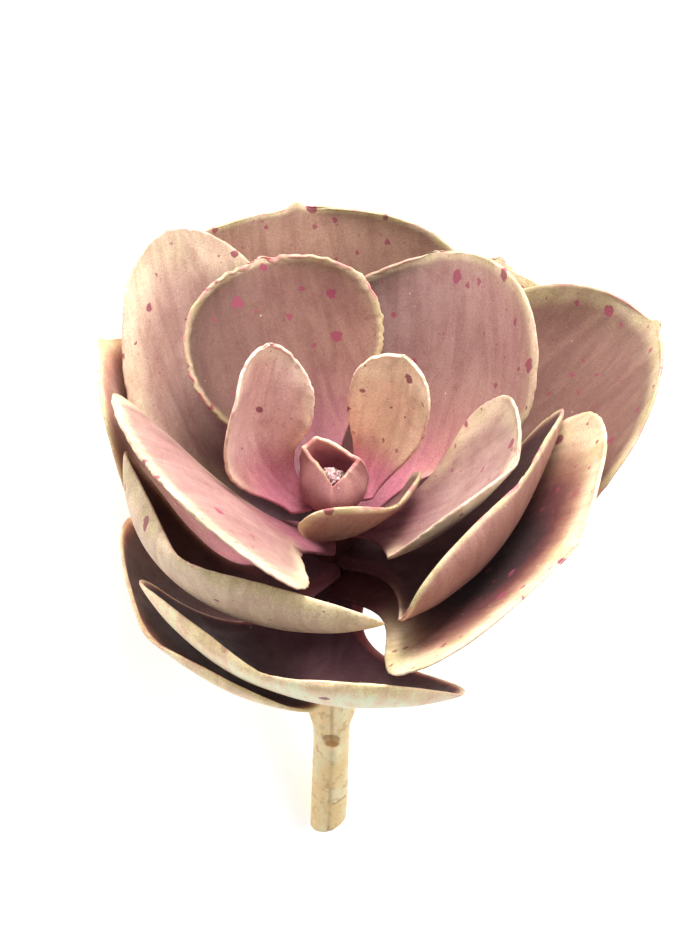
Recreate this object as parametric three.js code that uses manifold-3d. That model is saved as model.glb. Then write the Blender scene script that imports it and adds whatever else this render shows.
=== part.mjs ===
// Lipstick echeveria: one rosette of broad soft leaves on a short cut stem, laid down on its back leaves.
// Millimetres, +Z up. The plant is drawn upright about its own stem axis, with the mouth of the bud at
// the origin, and the finished group is then laid down so that it rests on three low points.
import * as THREE from "three";
import { mergeVertices } from "three/addons/utils/BufferGeometryUtils.js";
import Module from "manifold-3d";

// ---- Driving dimensions ----
const rimThickness = 1.0; // a leaf's edge
const ribThickness = 2.1; // a leaf's fleshy middle
const crownRadius = 5.2; // the part of the stem that the leaves grow from
const leafSeatRadius = 5.5; // where every leaf starts, just clear of the crown
const mucroWidth = 1.6; // the small point at a leaf's end
const mucroStart = 0.9; // where it starts along the leaf
const midribPull = 0.38; // how far the slopes at a midrib's ends reach, as a share of its chord
const neckEnd = 0.05; // where the narrow foot starts to widen
const rollEnd = 0.7; // where a leaf's turn is complete
const cupAtFoot = 0.35; // share of the cup that the foot has
const cupFull = 0.6; // where the cup is complete
const endRounding = 0.16; // how much of the blade's half width the cup takes to flatten out at the end
const creaseEnd = 0.8; // where the crease starts to fade
const creaseSoftness = 0.1;
const fleshThinning = 0.4; // how much of the flesh is gone at the end
const budFootRadius = 3.2; // where the bud's leaflets start, round the top of the crown
const budFootHeight = -8.3;
const budBellyRadius = 9.3; // the pull of a leaflet's bellied side
const budBellyHeight = -3;
const budHipShare = 0.9; // how far out its hip is, as a share of the belly
const budWall = 1.1; // thickness of a bud leaflet
const budGap = 0.34; // between neighbouring leaflets
const stemRadius = 4.7;
const stemLength = 117; // from the mouth of the bud down to the cut end
const cutSlope = 0.45; // the cut end runs up by this much per mm across

// How the plant lies: turned about its own stem, tipped over, then set down on the surface.
const lieTurn = 153.32; // degrees
const lieTip = 61.95; // degrees
const lieSink = 0.45; // depth of the three small flats that it rests on

// ---- Leaves, from the heart of the rosette outwards ----
// azimuth: the way it grows, degrees round the stem; root: height where it leaves the crown;
// reach and rise: radius and height of its end; leave and arrive: slope of its midrib at both ends;
// width, widest (place along the midrib), neck: its outline; cup, cupLeft, cupRight: how far the blade
// curls up to each edge, degrees; fold: crease on the midrib; roll: turn about the midrib;
// sway, bow, shift: the midrib's drift sideways; square: how blunt its end is; taper: how narrow its foot.
const leaves = {
  leaf_heart_left: { azimuth: 127, shift: 6, bow: 6, sway: -1, start: 4, root: -12, reach: 17.6, rise: 30,
    leave: 25, arrive: 90, width: 26, widest: 0.6, neck: 8, cup: 30, cupRight: 45, fold: 20, mucro: 0.2,
    square: 3.4, grid: [10, 8] },
  leaf_heart_right: { azimuth: 60, shift: -4, sway: -4, swayPower: 1, start: 5, root: -11, reach: 19.6,
    rise: 24, leave: 30, arrive: 85, width: 22, widest: 0.66, neck: 8, cup: 30, fold: 10, mucro: 0.4,
    square: 3.6, grid: [10, 8] },
  leaf_heart_front: { azimuth: 296, sway: 6, root: -12, reach: 20, rise: 3.6, leave: 5, arrive: 62,
    width: 40, widest: 0.64, neck: 12, cup: 45, cupLeft: 38, roll: 8, mucro: 1, square: 3, grid: [10, 8] },
  leaf_inner_back_left: { azimuth: 112, root: -15, reach: 49, rise: 25, leave: 18, arrive: 50, width: 54,
    widest: 0.68, cup: 40, mucro: 0.5, square: 3 },
  leaf_inner_right: { azimuth: 336, root: -16, reach: 45, rise: 21, leave: 16, arrive: 56, width: 54,
    widest: 0.66, cup: 36, mucro: 0.3, square: 3, taper: 1.8 },
  leaf_inner_back_right: { azimuth: 42, sway: 18, swayPower: 3, root: -18.5, reach: 50, rise: 26,
    leave: 12, arrive: 54, width: 67, widest: 0.66, cup: 35, cupRight: 15, mucro: 0.4, square: 2.7,
    taper: 2.8 },
  leaf_inner_left: { azimuth: 224, sway: -9, swayPower: 1.5, root: -19.6, reach: 47, rise: 26.8, leave: 37,
    arrive: 37, width: 77.5, widest: 0.73, neck: 15, cup: 0, roll: -6, mucro: 0.3, square: 1.8, taper: 2.9 },
  leaf_middle_left: { azimuth: 137, sway: -7.5, root: -24.3, reach: 61.6, rise: 32.4, leave: -7,
    arrive: 71, width: 51, widest: 0.59, neck: 13, cupLeft: 6, cupRight: 16, fold: 8, mucro: 0.2,
    square: 1.9, taper: 2.6 },
  leaf_middle_right: { azimuth: 329, sway: 5, swayPower: 1, root: -24.7, reach: 47, rise: 18, leave: 14,
    arrive: 102, width: 79, widest: 0.68, neck: 15, cupLeft: 14, cupRight: 32, roll: 5, mucro: 0.2,
    square: 2.9, taper: 2.5 },
  leaf_middle_front: { azimuth: 232, sway: -0.5, swayPower: 1, root: -27.5, reach: 51.6, rise: 12.4,
    leave: 8, arrive: 87, width: 89.5, widest: 0.73, neck: 15, cupLeft: 39, cupRight: 60, roll: 2,
    mucro: 0.3, square: 2.1, taper: 3.6 },
  leaf_outer_right: { azimuth: 318, sway: 10, swayPower: 1, root: -30.1, reach: 63.8, rise: 12.6, leave: 6,
    arrive: 38, width: 88.5, widest: 0.73, neck: 21, cup: 23, cupRight: 13, roll: 9, mucro: 0.5,
    square: 2.5, taper: 2.8 },
  leaf_outer_left: { azimuth: 163.5, sway: -7, root: -31.1, reach: 58.8, rise: 18.4, leave: -8, arrive: 67,
    width: 52.5, widest: 0.58, neck: 13, cupLeft: 18, cupRight: 30, square: 0.9, taper: 1.8 },
  leaf_outer_front: { azimuth: 256, root: -33.4, reach: 59.2, rise: -5.8, leave: -40, arrive: 73,
    width: 85.5, widest: 0.65, neck: 20, cupLeft: 34, cupRight: 39, roll: -7, mucro: 0.1, square: 2.9,
    taper: 2.6 },
  leaf_outer_back: { azimuth: 98, root: -37, reach: 65, rise: 25, leave: 4, arrive: 56, width: 84,
    widest: 0.72, cup: 30, cupLeft: 12, square: 3.2, taper: 3 },
  leaf_outer_far_right: { azimuth: 22, root: -39.5, reach: 82.4, rise: 17, leave: 16, arrive: 40,
    width: 72, widest: 0.6, cup: 34, cupLeft: 42, square: 2.3, taper: 2 },
  leaf_outer_back_right: { azimuth: 57, root: -42.5, reach: 75, rise: 8.4, leave: 5, arrive: 46, width: 70,
    widest: 0.7, cup: 26, cupRight: 0, roll: 4, square: 3.2, taper: 2.2 },
  leaf_lowest_left: { azimuth: 221, root: -45.5, reach: 56.4, rise: -16.2, leave: -11, arrive: 49,
    width: 72.5, widest: 0.7, neck: 13, cup: 38, cupRight: 35, roll: -8, mucro: 0.1, square: 3, taper: 1.3 },
};
const usualLeaf = { neck: 10, shift: 0, sway: 0, swayPower: 2, bow: 0, fold: 0,
  roll: 0, mucro: 1.6, square: 2.6, taper: 1.6, grid: [11, 10] };

// ---- The bud: three leaflets wrapped round a hollow. mouth: the upper edge from its right to its left ----
const budLeaflets = {
  bud_leaflet_back: [[5.9, 0.6, 3.3], [4.5, 1.7, 3.2], [3, 2.6, 3.1], [1.2, 3.8, 3.9], [-0.5, 4.7, 4.5],
    [-2.2, 5.4, 4.8], [-3.8, 5.7, 5.4], [-5.4, 5, 4.4], [-7, 3.9, 3.7]],
  bud_leaflet_left: [[-7, 3.9, 3.7], [-6.1, 2.8, 3.2], [-5.2, 1.6, 2.8], [-3.7, 0, 2.5], [-2.3, -1.4, 2],
    [-1.5, -2.4, 0.4], [-0.8, -3.3, -0.9], [-0.1, -4.2, -2]],
  bud_leaflet_right: [[-0.1, -4.2, -2], [1.1, -3.3, -0.4], [2.3, -2.5, 0.6], [3.5, -1.6, 1.6],
    [4.7, -0.5, 2.4], [5.9, 0.6, 3.3]],
};
const budRows = 6;

// The stem's centre line, from the top of the crown to the cut end, and its radius there.
const stemLine = [
  { height: -4.6, side: 0, back: 0, radius: 1.8 }, // the growing tip, deep in the bud
  { height: -6.6, side: 0, back: 0, radius: 2.8 },
  { height: -9.3, side: 0, back: 0, radius: 2.9 },
  { height: -9.8, side: 0, back: 0, radius: crownRadius },
  { height: -48, side: -0.3, back: 0, radius: crownRadius },
  { height: -52, side: -0.4, back: -0.3, radius: 5.6 }, // the scars of the lowest, fallen leaves
  { height: -56, side: -0.4, back: -0.8, radius: stemRadius },
  { height: -66, side: -0.5, back: -2.2, radius: stemRadius },
  { height: -78, side: -0.6, back: -4.4, radius: stemRadius + 0.2 },
  { height: -90, side: -0.8, back: -7.2, radius: stemRadius - 0.1 },
  { height: -104, side: -1.2, back: -10.4, radius: stemRadius },
  { height: -stemLength, side: -1.6, back: -13, radius: stemRadius },
];
const stemSides = 16;
const domeHeight = 0.8; // the growing tip's round top
const footRowShare = 0.55; // share of a leaf's rows of faces below its widest place

// ---- Materials ----
const leafColour = 0xb08d84;
const budColour = 0xb98f92;
const stemColour = 0xdcc49c;

const rad = THREE.MathUtils.degToRad;
const up = new THREE.Vector3(0, 0, 1);
const wasm = await Module();
wasm.setup();

const budMaterial = new THREE.MeshStandardMaterial({ color: budColour, roughness: 0.6, metalness: 0 });
const leafMaterial = new THREE.MeshStandardMaterial({ color: leafColour, roughness: 0.62, metalness: 0 });
const stemMaterial = new THREE.MeshStandardMaterial({ color: stemColour, roughness: 0.7, metalness: 0 });

// ---- A leaf's middle surface ----
// along runs 0 to 1 from the foot to the point, across -1 to 1 from the right edge to the left.
function midrib(leaf, along) {
  const outward = new THREE.Vector3(Math.cos(rad(leaf.azimuth)), Math.sin(rad(leaf.azimuth)), 0);
  const sideways = new THREE.Vector3(-outward.y, outward.x, 0);
  const startRadius = leaf.start ?? leafSeatRadius;
  const chord = Math.hypot(leaf.reach - startRadius, leaf.rise - leaf.root);
  const pull = midribPull * chord;
  const curve = new THREE.CubicBezierCurve(
    new THREE.Vector2(startRadius, leaf.root),
    new THREE.Vector2(
      startRadius + pull * Math.cos(rad(leaf.leave)),
      leaf.root + pull * Math.sin(rad(leaf.leave)),
    ),
    new THREE.Vector2(
      leaf.reach - pull * Math.cos(rad(leaf.arrive)),
      leaf.rise - pull * Math.sin(rad(leaf.arrive)),
    ),
    new THREE.Vector2(leaf.reach, leaf.rise),
  );
  const place = (t) => {
    const p = curve.getPoint(t);
    const drift = leaf.shift + leaf.sway * t ** leaf.swayPower + leaf.bow * Math.sin(Math.PI * t);
    return outward.clone().multiplyScalar(p.x).addScaledVector(up, p.y).addScaledVector(sideways, drift);
  };
  const step = 1e-3;
  const before = place(Math.max(0, along - step));
  const after = place(Math.min(1, along + step));
  const forward = after.sub(before).normalize();
  const left = sideways.clone().addScaledVector(forward, -forward.dot(sideways)).normalize();
  return { point: place(along), forward, left, face: forward.clone().cross(left) };
}

// Half the blade's width, and how far the end's rounding has gone, 0 to 1.
function halfWidth(leaf, along) {
  const half = leaf.width / 2;
  const neck = leaf.neck / 2;
  const endPart = THREE.MathUtils.clamp((along - leaf.widest) / (1 - leaf.widest), 0, 1);
  if (along < leaf.widest) {
    const swell = THREE.MathUtils.clamp((along - neckEnd) / (leaf.widest - neckEnd), 0, 1);
    return { half: neck + (half - neck) * Math.sin((Math.PI / 2) * swell) ** leaf.taper, endPart };
  }
  return { half: half * Math.sqrt(Math.max(0, 1 - endPart ** leaf.square)), endPart };
}

function bladePoint(leaf, along, across) {
  const { point, forward, left, face } = midrib(leaf, along);
  const { half, endPart } = halfWidth(leaf, along);
  const turn = rad(leaf.roll) * THREE.MathUtils.smoothstep(along, 0, rollEnd);
  const side = left.clone().multiplyScalar(Math.cos(turn)).addScaledVector(face, Math.sin(turn));
  const lift = face.clone().multiplyScalar(Math.cos(turn)).addScaledVector(left, -Math.sin(turn));
  const cup = across > 0 ? (leaf.cupLeft ?? leaf.cup) : (leaf.cupRight ?? leaf.cup);
  const cupping = cupAtFoot + (1 - cupAtFoot) * THREE.MathUtils.smoothstep(along, 0.1, cupFull);
  // The cup flattens out at the very end, so that the rim runs round it smoothly.
  const share = endPart > 0 ? half / (leaf.width / 2) : 1;
  const flatEnd = (share * Math.hypot(1, endRounding)) / Math.hypot(share, endRounding);
  const curl = Math.max(1e-3, rad(cup) * cupping * flatEnd);
  const out = (Math.sign(across) * half * Math.sin(curl * Math.abs(across))) / curl;
  const crease = rad(leaf.fold) * (1 - THREE.MathUtils.smoothstep(along, creaseEnd, 1));
  const height = (half * (1 - Math.cos(curl * across))) / curl
    + half * Math.tan(crease) * (Math.hypot(across, creaseSoftness) - creaseSoftness);
  const tip = leaf.mucro * Math.exp(-((out / mucroWidth) ** 2))
    * THREE.MathUtils.smoothstep(along, mucroStart, 1) ** 2;
  const toRim = Math.sqrt(across * across * (1 - endPart * endPart) + endPart * endPart);
  point.addScaledVector(side, out).addScaledVector(lift, height).addScaledVector(forward, tip);
  return { point, toRim };
}

// ---- A leaf's solid: the middle surface thickened, fleshy at the rib and thin at the rim ----
function bladeNormal(leaf, along, across) {
  const step = 2e-3;
  const a = THREE.MathUtils.clamp(along, 0.01, 0.985);
  const w = THREE.MathUtils.clamp(across, -0.99, 0.99);
  const lengthwise = bladePoint(leaf, a + step, w).point.sub(bladePoint(leaf, a - step, w).point);
  const crosswise = bladePoint(leaf, a, w + step).point.sub(bladePoint(leaf, a, w - step).point);
  return lengthwise.cross(crosswise).normalize();
}

function alongSteps(leaf, rows) {
  const footRows = Math.round(rows * footRowShare);
  const endRows = rows - footRows;
  const foot = Array.from({ length: footRows }, (_, i) => (leaf.widest * i) / footRows);
  const end = Array.from({ length: endRows + 1 }, (_, i) => (
    leaf.widest + (1 - leaf.widest) * Math.sin(((Math.PI / 2) * i) / endRows)));
  return foot.concat(end);
}

function leafGeometry(leaf) {
  const [rows, columns] = leaf.grid;
  const steps = alongSteps(leaf, rows);
  const vertices = [];
  const rings = { upper: [], lower: [] };
  const addVertex = (p) => vertices.push(p.x, p.y, p.z) / 3 - 1;
  steps.forEach((along, i) => {
    const isTip = i === rows;
    const upperRow = [];
    const lowerRow = [];
    for (let j = 0; j <= (isTip ? 0 : columns); j += 1) {
      const across = isTip ? 0 : (2 * j) / columns - 1;
      const { point, toRim } = bladePoint(leaf, along, across);
      const flesh = (1 - toRim) ** 0.7 * (1 - fleshThinning * along);
      const thickness = rimThickness + (ribThickness - rimThickness) * flesh;
      const normal = bladeNormal(leaf, along, across);
      const upper = point.clone().addScaledVector(normal, thickness / 2);
      const lower = point.clone().addScaledVector(normal, -thickness / 2);
      if (i === 0) [upper, lower].forEach(seatOnCrown);
      upperRow.push(addVertex(upper));
      lowerRow.push(addVertex(lower));
    }
    rings.upper.push(upperRow);
    rings.lower.push(lowerRow);
  });

  const triangles = [];
  const quad = (a, b, c, d) => triangles.push(a, b, c, a, c, d);
  for (let i = 0; i < rows - 1; i += 1) {
    const [u0, u1] = [rings.upper[i], rings.upper[i + 1]];
    const [l0, l1] = [rings.lower[i], rings.lower[i + 1]];
    for (let j = 0; j < columns; j += 1) {
      quad(u0[j], u1[j], u1[j + 1], u0[j + 1]);
      quad(l0[j], l0[j + 1], l1[j + 1], l1[j]);
    }
    quad(u0[0], l0[0], l1[0], u1[0]);
    quad(u1[columns], l1[columns], l0[columns], u0[columns]);
  }
  const [lastUpper, lastLower] = [rings.upper[rows - 1], rings.lower[rows - 1]];
  const [tipUpper, tipLower] = [rings.upper[rows][0], rings.lower[rows][0]];
  for (let j = 0; j < columns; j += 1) {
    triangles.push(lastUpper[j], tipUpper, lastUpper[j + 1]);
    triangles.push(lastLower[j], lastLower[j + 1], tipLower);
    quad(rings.upper[0][j], rings.upper[0][j + 1], rings.lower[0][j + 1], rings.lower[0][j]);
  }
  quad(lastUpper[0], lastLower[0], tipLower, tipUpper);
  quad(tipUpper, tipLower, lastLower[columns], lastUpper[columns]);
  return closedGeometry(vertices, triangles);
}

// A leaf's foot ends on the round of the crown.
function seatOnCrown(p) {
  const scale = leafSeatRadius / Math.hypot(p.x, p.y);
  p.x *= scale;
  p.y *= scale;
}

// ---- A bud leaflet: a curved wall from the top of the crown out and up to its part of the mouth ----
// Each column of points lies in an upright plane through the bud's axis, so neighbours meet cleanly.
function budColumn(rimPoint, edge) {
  const azimuth = Math.atan2(rimPoint[1], rimPoint[0]);
  const level = new THREE.Vector3(Math.cos(azimuth), Math.sin(azimuth), 0);
  const at = (radius, height) => level.clone().multiplyScalar(radius).addScaledVector(up, height);
  const curve = new THREE.CubicBezierCurve3(
    at(budFootRadius, budFootHeight),
    at(budBellyRadius * budHipShare, budFootHeight),
    at(budBellyRadius, budBellyHeight),
    new THREE.Vector3(...rimPoint),
  );
  const sideways = new THREE.Vector3(-level.y, level.x, 0);
  const inset = sideways.multiplyScalar((-edge * budGap) / 2);
  return Array.from({ length: budRows + 1 }, (_, i) => {
    const along = i / budRows;
    const tangent = curve.getTangent(along);
    const run = tangent.dot(level);
    // square to the wall, inside the column's own plane
    const outward = level.clone().multiplyScalar(tangent.z).addScaledVector(up, -run).normalize();
    const middle = curve.getPoint(along).add(inset);
    return {
      outer: middle.clone().addScaledVector(outward, budWall / 2),
      inner: middle.clone().addScaledVector(outward, -budWall / 2),
    };
  });
}

function budLeafletGeometry(mouth) {
  const last = mouth.length - 1;
  const columns = mouth.map((point, j) => budColumn(point, j === 0 ? -1 : Number(j === last)));
  const vertices = [];
  const addVertex = (p) => vertices.push(p.x, p.y, p.z) / 3 - 1;
  const outer = columns.map((column) => column.map((place) => addVertex(place.outer)));
  const inner = columns.map((column) => column.map((place) => addVertex(place.inner)));
  const triangles = [];
  const quad = (a, b, c, d) => triangles.push(a, b, c, a, c, d);
  for (let j = 0; j < last; j += 1) {
    for (let i = 0; i < budRows; i += 1) {
      quad(outer[j][i], outer[j + 1][i], outer[j + 1][i + 1], outer[j][i + 1]);
      quad(inner[j][i], inner[j][i + 1], inner[j + 1][i + 1], inner[j + 1][i]);
    }
    quad(outer[j][budRows], outer[j + 1][budRows], inner[j + 1][budRows], inner[j][budRows]);
    quad(outer[j][0], inner[j][0], inner[j + 1][0], outer[j + 1][0]);
  }
  for (let i = 0; i < budRows; i += 1) {
    quad(outer[0][i], outer[0][i + 1], inner[0][i + 1], inner[0][i]);
    quad(outer[last][i], inner[last][i], inner[last][i + 1], outer[last][i + 1]);
  }
  return closedGeometry(vertices, triangles);
}

// ---- The crown and stem: rings along the centre line, closed by a low dome and an oblique cut ----
function stemGeometry() {
  const vertices = [];
  const triangles = [];
  const addVertex = (x, y, z) => vertices.push(x, y, z) / 3 - 1;
  const top = addVertex(0, 0, stemLine[0].height + domeHeight);
  const rings = stemLine.map(({ height, side, back, radius }, i) => {
    const isCut = i === stemLine.length - 1;
    return Array.from({ length: stemSides }, (_, k) => {
      const turn = (2 * Math.PI * k) / stemSides;
      const x = radius * Math.cos(turn);
      return addVertex(side + x, back + radius * Math.sin(turn), height + (isCut ? cutSlope * x : 0));
    });
  });
  const last = stemLine.at(-1);
  const bottom = addVertex(last.side, last.back, last.height);
  for (let k = 0; k < stemSides; k += 1) {
    const next = (k + 1) % stemSides;
    triangles.push(top, rings[0][k], rings[0][next]);
    for (let i = 0; i < rings.length - 1; i += 1) {
      triangles.push(rings[i][k], rings[i + 1][k], rings[i + 1][next]);
      triangles.push(rings[i][k], rings[i + 1][next], rings[i][next]);
    }
    triangles.push(rings.at(-1)[k], bottom, rings.at(-1)[next]);
  }
  return closedGeometry(vertices, triangles);
}

function closedGeometry(vertices, triangles) {
  const geometry = new THREE.BufferGeometry();
  geometry.setAttribute("position", new THREE.Float32BufferAttribute(vertices, 3));
  geometry.setIndex(triangles);
  return geometry;
}

// ---- Solids, only for cutting the small flats that the plant rests on ----
function solidOf(geometry) {
  const plain = geometry.clone();
  plain.deleteAttribute("normal");
  plain.deleteAttribute("uv");
  const merged = mergeVertices(plain, 1e-4);
  return new wasm.Manifold(new wasm.Mesh({
    numProp: 3,
    vertProperties: merged.attributes.position.array,
    triVerts: new Uint32Array(merged.index.array),
  }));
}

function geometryOf(solid) {
  const mesh = solid.getMesh();
  const geometry = new THREE.BufferGeometry();
  geometry.setAttribute("position", new THREE.BufferAttribute(mesh.vertProperties, 3));
  geometry.setIndex(new THREE.BufferAttribute(mesh.triVerts, 1));
  return geometry;
}

// ---- The whole plant, upright, then laid down ----
const pieces = new Map([["stem", { geometry: stemGeometry(), material: stemMaterial }]]);
for (const [name, mouth] of Object.entries(budLeaflets)) {
  pieces.set(name, { geometry: budLeafletGeometry(mouth), material: budMaterial });
}
for (const [name, shape] of Object.entries(leaves)) {
  pieces.set(name, { geometry: leafGeometry({ ...usualLeaf, ...shape }), material: leafMaterial });
}

const lie = new THREE.Matrix4().makeRotationX(rad(lieTip));
lie.multiply(new THREE.Matrix4().makeRotationZ(rad(lieTurn)));

// The box round the pieces as they lie gives the height to set them down by, and the centre.
const lyingBox = new THREE.Box3();
for (const { geometry } of pieces.values()) {
  lyingBox.union(new THREE.Box3().setFromBufferAttribute(
    geometry.clone().applyMatrix4(lie).getAttribute("position")));
}
const floorHeight = lyingBox.min.z + lieSink;

// Everything below the surface is cut off flat.
const blockSize = 400;
const floorBlock = new THREE.BoxGeometry(blockSize, blockSize, blockSize);
floorBlock.translate(0, 0, floorHeight - blockSize / 2);
floorBlock.applyMatrix4(lie.clone().invert());
const floorSolid = solidOf(floorBlock);

const plant = new THREE.Group();
for (const [name, { geometry, material }] of pieces) {
  const lowest = new THREE.Box3().setFromBufferAttribute(
    geometry.clone().applyMatrix4(lie).getAttribute("position")).min.z;
  const cut = lowest < floorHeight;
  const shape = cut ? geometryOf(solidOf(geometry).subtract(floorSolid)) : geometry;
  shape.computeVertexNormals();
  const mesh = new THREE.Mesh(shape, material);
  mesh.name = name;
  plant.add(mesh);
}
plant.applyMatrix4(lie);
plant.position.set(
  -(lyingBox.min.x + lyingBox.max.x) / 2,
  -(lyingBox.min.y + lyingBox.max.y) / 2,
  -floorHeight,
);

const rosette = new THREE.Group();
rosette.add(plant);

export default rosette;
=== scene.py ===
import math

import bpy
from mathutils import Matrix, Vector, noise


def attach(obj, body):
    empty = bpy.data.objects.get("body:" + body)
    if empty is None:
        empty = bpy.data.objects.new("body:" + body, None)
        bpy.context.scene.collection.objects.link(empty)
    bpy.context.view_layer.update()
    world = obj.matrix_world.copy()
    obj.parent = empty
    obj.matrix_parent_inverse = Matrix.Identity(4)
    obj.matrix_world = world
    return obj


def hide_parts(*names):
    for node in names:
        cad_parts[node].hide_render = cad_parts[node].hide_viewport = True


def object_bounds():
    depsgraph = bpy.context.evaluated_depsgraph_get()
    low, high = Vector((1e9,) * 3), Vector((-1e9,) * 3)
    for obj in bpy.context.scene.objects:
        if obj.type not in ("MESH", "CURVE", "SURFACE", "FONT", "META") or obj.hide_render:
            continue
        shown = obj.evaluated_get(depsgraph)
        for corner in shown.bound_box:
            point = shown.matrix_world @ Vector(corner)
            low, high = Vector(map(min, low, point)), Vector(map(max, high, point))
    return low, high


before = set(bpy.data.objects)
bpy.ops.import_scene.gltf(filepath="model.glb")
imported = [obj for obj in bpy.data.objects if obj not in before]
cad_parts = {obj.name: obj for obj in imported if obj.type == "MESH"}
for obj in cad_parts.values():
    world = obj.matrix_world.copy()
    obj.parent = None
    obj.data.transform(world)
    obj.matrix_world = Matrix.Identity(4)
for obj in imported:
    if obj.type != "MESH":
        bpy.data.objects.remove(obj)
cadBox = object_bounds()

mm = 0.001

# the plant lying on its back leaves
# Everything below is drawn upright, in mm, with the mouth of the bud at the origin, then laid down.
plant = dict(turn=153.32, tip=61.95, heart=(14.289, -26.648, 49.605))

lay = (
    Matrix.Translation(Vector(plant["heart"]) * mm)
    @ Matrix.Rotation(math.radians(plant["tip"]), 4, "X")
    @ Matrix.Rotation(math.radians(plant["turn"]), 4, "Z")
    @ Matrix.Scale(mm, 4)
)


def clamp(x, low=0.0, high=1.0):
    return max(low, min(high, x))


def ease(x, low, high):
    t = clamp((x - low) / (high - low))
    return t * t * (3 - 2 * t)


def hump(x, middle, spread, power=2):
    # 1 at the middle, falling to nothing on both sides
    return math.exp(-(((x - middle) / spread) ** power))


def plateau(x, start, full, last, end):
    return ease(x, start, full) * (1 - ease(x, last, end))


def bezier(p0, p1, p2, p3, t):
    s = 1 - t
    return s**3 * p0 + 3 * s * s * t * p1 + 3 * s * t * t * p2 + t**3 * p3


def deselect():
    if bpy.context.object and bpy.context.object.mode != "OBJECT":
        bpy.ops.object.mode_set(mode="OBJECT")
    bpy.ops.object.select_all(action="DESELECT")


def addGrid(name, columns, rows):
    deselect()
    bpy.ops.mesh.primitive_grid_add(x_subdivisions=columns, y_subdivisions=rows, size=2)
    piece = bpy.context.object
    piece.name = name
    return piece, piece.data


def thicken(piece, thickness):
    # a wall to both sides of the sheet, whose back has the second material, then one smoothing
    wall = piece.modifiers.new("wall", "SOLIDIFY")
    wall.thickness, wall.offset = thickness, 0
    wall.material_offset = 1
    soft = piece.modifiers.new("soft", "SUBSURF")
    soft.levels = soft.render_levels = 1
    return wall


def layDown(piece):
    piece.data.transform(lay)
    for v in piece.data.vertices:
        # flat where it rests, and nowhere past the CAD model's box
        v.co = [clamp(x, low, high) for x, low, high in zip(v.co, *cadBox)]


def finishPiece(piece, materials, node):
    for material in materials:
        piece.data.materials.append(material)
    bpy.context.view_layer.objects.active = piece
    for modifier in list(piece.modifiers):
        bpy.ops.object.modifier_apply(modifier=modifier.name)
    layDown(piece)
    deselect()
    piece.select_set(True)
    bpy.ops.object.shade_smooth()
    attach(piece, "root")
    if node:
        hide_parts(node)


# What the flesh materials read from each vertex: how far along the leaf it is (0 to 1) and how far from the
# rim (mm), how dark the insides go (dark pigment with painted shade), the tone (with painted light and
# shade), pale bloom as painted sheen, tan against mauve, the cream margin (mm), freckles and the red of the
# rim.
finishWords = ("alongLeaf", "rimGap", "shade", "toneAndPaintedShading", "bloomAndSheen", "tan", "margin", "freckles", "blush")
uvStretch = 12  # each leaf has its own part of the UV map, this far from the last


def addFinish(mesh):
    for word in finishWords:
        mesh.attributes.new(word, "FLOAT", "POINT")


def setFinish(mesh, index, finish):
    for word in finishWords:
        mesh.attributes[word].data[index].value = finish[word]
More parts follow.
